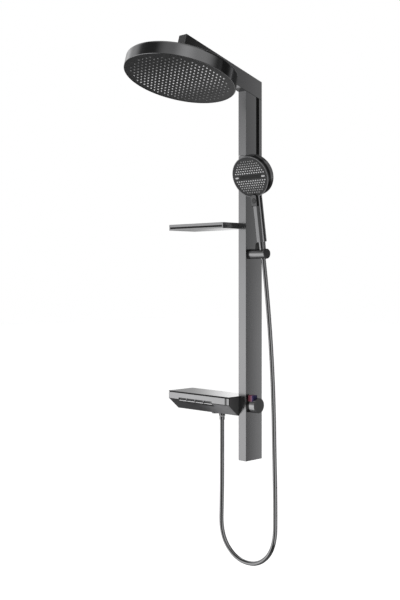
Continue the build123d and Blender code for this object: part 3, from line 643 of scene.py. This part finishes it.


# small details: bar ends, key lips and marks, latch, seams, shelf ends, ring, and a black strip painted as
# the shadow under the plate

def slab(size, bevel, place=None):
    # a block with its upright edges and then its rims rounded
    startFresh()
    bpy.ops.mesh.primitive_cube_add(size=1)
    block = bpy.context.object
    block.scale = size
    settle(block)
    pickEdges(block, lambda a, b: abs(a.z - b.z) > size[2] * 0.5)
    bpy.ops.mesh.bevel(offset=bevel, segments=6, affect="EDGES")
    leaveEdit()
    pickFaces(block, lambda face: face.normal.z > 0.9)
    bpy.ops.mesh.inset(thickness=min(size) * 0.2)
    bpy.ops.transform.translate(value=(0, 0, min(size) * 0.15))
    leaveEdit()
    if place is not None:
        block.data.transform(place)
    return smooth(block, 40)


barEndSetup = {"size": (0.0135, 0.0052, 0.001), "bevel": 0.0022, "reach": 0.0515, "out": 0.0004}
places = [faceFrame @ Matrix.Translation((side * barEndSetup["reach"], 0, -barEndSetup["out"]))
          @ Matrix.Rotation(math.pi, 4, "X") for side in (-1, 1)]
barEnds = copiesOf(slab(barEndSetup["size"], barEndSetup["bevel"]), places, "barEnds")
dress(barEnds, "barEnds", "hand_shower", finishes["paleInlay"])

lipSetup = {"size": (0.0365, 0.003, 0.0008), "bevel": 0.0008, "along": -0.0044, "out": 0.0014}
ringSetup = {"radius": 0.0032, "wire": 0.00028, "along": -0.011, "out": 0.0012}
for index, keyX in enumerate((-0.1165, -0.1575, -0.1985, -0.2395)):
    body = "key_" + "abcd"[index]
    lip = slab(lipSetup["size"], lipSetup["bevel"],
               slopeFrame @ Matrix.Translation((keyX, lipSetup["along"], lipSetup["out"])))
    dress(lip, "keyLip" + str(index + 1), body, finishes["lipPale"])
    startFresh()
    bpy.ops.mesh.primitive_torus_add(
        major_radius=ringSetup["radius"], minor_radius=ringSetup["wire"],
        major_segments=32, minor_segments=6)
    ring = settle(bpy.context.object)
    pickFaces(ring, lambda face: face.center.y > ringSetup["radius"] * (0.75 if index % 2 else 0.2))
    bpy.ops.mesh.delete(type="FACE")
    leaveEdit()
    ring.data.transform(slopeFrame @ Matrix.Translation((keyX, ringSetup["along"], ringSetup["out"])))
    dress(smooth(ring, 60), "keyMark" + str(index + 1), body, finishes["markGrey"])

latchSetup = {"left": 0.0435, "right": 0.0602, "low": 0.5215, "high": 0.545, "deep": 0.012,
              "y": -0.0575, "slant": 0.009, "soft": 0.0012, "near": 0.001}
startFresh()
bpy.ops.mesh.primitive_cube_add(size=1, location=(
    (latchSetup["left"] + latchSetup["right"]) / 2, latchSetup["y"],
    (latchSetup["low"] + latchSetup["high"]) / 2))
latch = bpy.context.object
latch.scale = (latchSetup["right"] - latchSetup["left"], latchSetup["deep"],
               latchSetup["high"] - latchSetup["low"])
settle(latch)
pickEdges(latch, lambda a, b: (min(a.z, b.z) > latchSetup["high"] - latchSetup["near"]
                               and max(a.x, b.x) < latchSetup["left"] + latchSetup["near"]))
bpy.ops.mesh.bevel(offset=latchSetup["slant"], segments=2, affect="EDGES")
leaveEdit()
applyModifier(latch, "BEVEL", {"width": latchSetup["soft"], "segments": 2})
dress(smooth(latch, 40), "holderLatch", "holder", finishes["collarBlack"])

# open seam between the arm and the column, seen on both sides
seamSetup = {"wide": 0.0009, "proud": 0.00025, "half": 0.017, "back": -0.0006, "front": -0.0794,
             "depth": 0.08}
columnTop = max(vertex.co.z for vertex in nodes["column_upper"].data.vertices)
seamRun = seamSetup["back"] - seamSetup["front"]
places = [Matrix.Translation((side * seamSetup["half"], (seamSetup["back"] + seamSetup["front"]) / 2,
                              columnTop - seamSetup["depth"] * math.tan(armLean) / 2))
          @ Matrix.Rotation(-armLean, 4, "X") for side in (-1, 1)]
seams = copiesOf(slab((2 * seamSetup["proud"], seamRun / math.cos(armLean),
                       seamSetup["wide"]), 0.0001), places, "armSeams")
dress(seams, "armSeams", "column", finishes["blackInsert"])

# the shelf's black line is closed at both ends
shelfEndSetup = {"size": (0.0045, 0.1245, 0.0062), "x": (-0.2747, -0.0193), "y": -0.0936, "z": 0.6}
places = [Matrix.Translation((x, shelfEndSetup["y"], shelfEndSetup["z"])) for x in shelfEndSetup["x"]]
shelfEnds = copiesOf(slab(shelfEndSetup["size"], 0.0004), places, "shelfEnds")
dress(shelfEnds, "shelfEnds", "column", finishes["shelfMetal"])

# pale ring where the hose leaves the tablet
ringAt = {"place": (-0.1105, -0.062, -0.0487), "radius": 0.0098, "wire": 0.0012}
startFresh()
bpy.ops.mesh.primitive_torus_add(
    location=ringAt["place"], major_radius=ringAt["radius"], minor_radius=ringAt["wire"],
    major_segments=48, minor_segments=10)
outletRing = settle(bpy.context.object)
dress(smooth(outletRing, 60), "outletRing", "column", finishes["paleInlay"])

# painted shadow: a black strip fills the gap under the tablet plate
plateShadowSetup = {"x": (-0.3065, -0.0195), "y": (-0.1258, -0.012), "z": (0.02245, 0.02495)}
startFresh()
bpy.ops.mesh.primitive_cube_add(size=1, location=[sum(plateShadowSetup[axis]) / 2 for axis in "xyz"])
plateShadowPiece = bpy.context.object
plateShadowPiece.scale = [plateShadowSetup[axis][1] - plateShadowSetup[axis][0] for axis in "xyz"]
settle(plateShadowPiece)
dress(plateShadowPiece, "plateShadowStrip", "column", finishes["blackInsert"])
print("details added")


# studio

studioSetup = {
    "backdrop": 1.0,
    "fill": 0.05,
    # azimuth, elevation, full within, gone beyond, strength
    "lobes": [
        (150, 8, 14, 40, 0.55),
        (-176, 27, 9, 29, 0.6),
        (-135, -22, 16, 36, 1.0),
        (-135, 8, 8, 28, 0.3),
        (-10, 26, 12, 45, 0.5),
        (-22, -4, 6, 20, 0.8),
        (-55, 36, 10, 40, 0.3),
        (48, -14, 8, 32, 0.25),
        (0, 90, 20, 38, 0.4),
        (0, -90, 20, 50, 0.15),
    ],
    "floorLevel": -0.9,
    "floorSize": 40.0,
}


def towards(azimuth, elevation):
    turn, rise = math.radians(azimuth), math.radians(elevation)
    return (math.cos(turn) * math.cos(rise), math.sin(turn) * math.cos(rise), math.sin(rise))


studio = bpy.data.worlds.new("studio")
bpy.context.scene.world = studio
air = Finish(studio)
direction = air.add("TexCoord", output="Generated")
glow = None
for azimuth, elevation, inner, outer, strength in studioSetup["lobes"]:
    facing = air.add("VectorMath", {"operation": "DOT_PRODUCT"}, {
        0: direction, 1: towards(azimuth, elevation)}, output=1)
    faint, full = math.cos(math.radians(outer)), math.cos(math.radians(inner))
    lobe = air.slide(facing, faint, full, 0.0, strength)
    glow = lobe + studioSetup["fill"] if glow is None else glow + lobe
seen = air.add("LightPath", output="Is Camera Ray")
light = air.blend(seen, air.add("CombineXYZ", {}, {0: glow, 1: glow, 2: glow}), (1.0, 1.0, 1.0))
backdrop = air.add("Background", {}, {"Color": light, "Strength": studioSetup["backdrop"]})
air.add("OutputWorld", {}, {"Surface": backdrop})

startFresh()
bpy.ops.mesh.primitive_plane_add(
    size=studioSetup["floorSize"], location=(0, 0, studioSetup["floorLevel"]))
floor = bpy.context.object
floor.name = "floor"
settle(floor)
floorPaint = Finish(bpy.data.materials.new("floorPaint"))
floor.data.materials.append(floorPaint.surface({
    "Base Color": (0.9, 0.9, 0.9, 1),
    "Roughness": 0.9,
    "Emission Color": (1, 1, 1, 1),
    "Emission Strength": 0.75,
}))
floor.visible_glossy = False

# reflector cards: upright panels that only reflections see, with their glow along one axis as
# (place, glow at the foot, glow at the head); between the rise's heights foot turns into head
cardPeak = 1.5
cardRise = (0.2, 0.75)
cardSetup = {
    "backLeftCard": {"middle": (-0.7, 0.42, 0.3), "size": (0.8, 1.3), "turn": 0, "axis": 0, "glow": [
        (-1.1, 0.38, 0.38), (-0.8, 0.42, 0.42), (-0.74, 0.45, 0.45), (-0.68, 0.58, 0.58),
        (-0.63, 0.78, 0.78), (-0.57, 1.0, 1.0), (-0.51, 1.25, 1.25), (-0.3, 1.3, 1.3)]},
    "backRightCard": {"middle": (0.3, 0.1, 0.5), "size": (0.7, 2.2), "turn": 90, "axis": 1, "glow": [
        (-0.25, 0.7, 0.03), (-0.1, 1.0, 0.03), (-0.02, 0.5, 0.06), (0.12, 0.12, 0.2),
        (0.24, 0.19, 0.26), (0.28, 0.44, 0.34), (0.33, 0.74, 0.41), (0.45, 0.8, 0.43)]},
}
for name, setup in cardSetup.items():
    startFresh()
    bpy.ops.mesh.primitive_grid_add(
        x_subdivisions=2, y_subdivisions=2, size=1, location=setup["middle"],
        rotation=(math.pi / 2, 0, math.radians(setup["turn"])))
    card = bpy.context.object
    card.name = name
    card.scale = (setup["size"][0], setup["size"][1], 1)
    settle(card)
    paint = Finish(bpy.data.materials.new(name))
    spots = paint.axes(paint.add("TexCoord", output="Object"))
    first, last = setup["glow"][0][0], setup["glow"][-1][0]
    run = paint.add("MapRange", {}, {
        "Value": spots[setup["axis"]], "From Min": first, "From Max": last})
    foot, head = [paint.add("ValToRGB", {"stops": [
        ((stop[0] - first) / (last - first), (stop[level] / cardPeak,) * 3)
        for stop in setup["glow"]]}, {"Fac": run})
        for level in (1, 2)]
    shine = paint.add("Emission", {}, {
        "Color": paint.blend(paint.slide(spots[2], *cardRise), foot, head), "Strength": cardPeak})
    paint.add("OutputMaterial", {}, {"Surface": shine})
    card.data.materials.append(paint.owner)
    card.visible_camera = card.visible_diffuse = card.visible_shadow = False

lightSetup = {"place": (-1.5, -2.0, 3.2), "aim": (0, 0, 0.4), "size": 2.5, "power": 45}
startFresh()
bpy.ops.object.light_add(type="AREA", location=lightSetup["place"])
keyLight = bpy.context.object
keyLight.data.shape = "SQUARE"
keyLight.data.size = lightSetup["size"]
keyLight.data.energy = lightSetup["power"]
aim = Vector(lightSetup["aim"]) - keyLight.location
keyLight.rotation_euler = aim.to_track_quat("-Z", "Y").to_euler()
keyLight.visible_glossy = False
print("studio lit")
